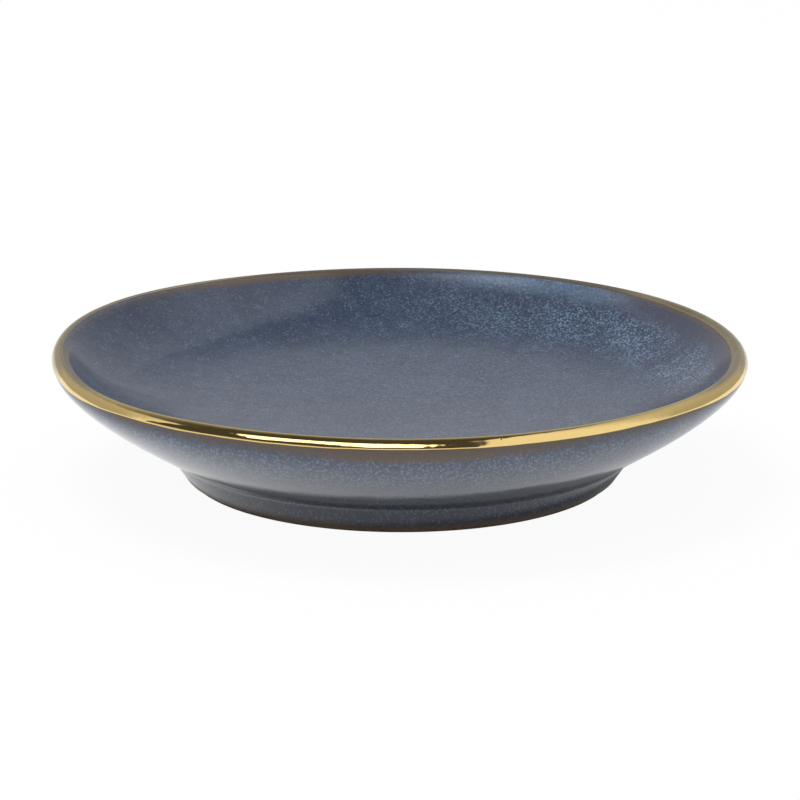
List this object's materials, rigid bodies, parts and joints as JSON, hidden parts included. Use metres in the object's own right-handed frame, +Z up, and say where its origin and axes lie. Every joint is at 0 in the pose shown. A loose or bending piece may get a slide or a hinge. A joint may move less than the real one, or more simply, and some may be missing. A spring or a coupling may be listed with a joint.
{
  "type": "ring dish",
  "caption": "Shallow round stoneware dish on a tapered foot ring, glazed all over but for the face that it stands on, with a band of gold lustre over its gently swaying lip.",
  "frame": {"origin": "on the table under the middle of the rim, at the centre of the bounding box's underside", "axes": "+Z points up out of the well, -Y towards the viewer of the picture and +X to the viewer's right"},
  "size_m": [0.1102, 0.1101, 0.0211],
  "materials": {
    "clay": "bare fired tan stoneware, dry and slightly gritty",
    "glaze": "glossy speckled slate-blue reactive glaze, broken to brown where it thins",
    "gold": "bright gold lustre, mirror-like and slightly rippled"
  },
  "bodies": {
    "root": {"stoneware_body": "clay", "glaze_coat": "glaze", "recess_glaze": "glaze", "gold_rim": "gold"}
  },
  "joints": []
}
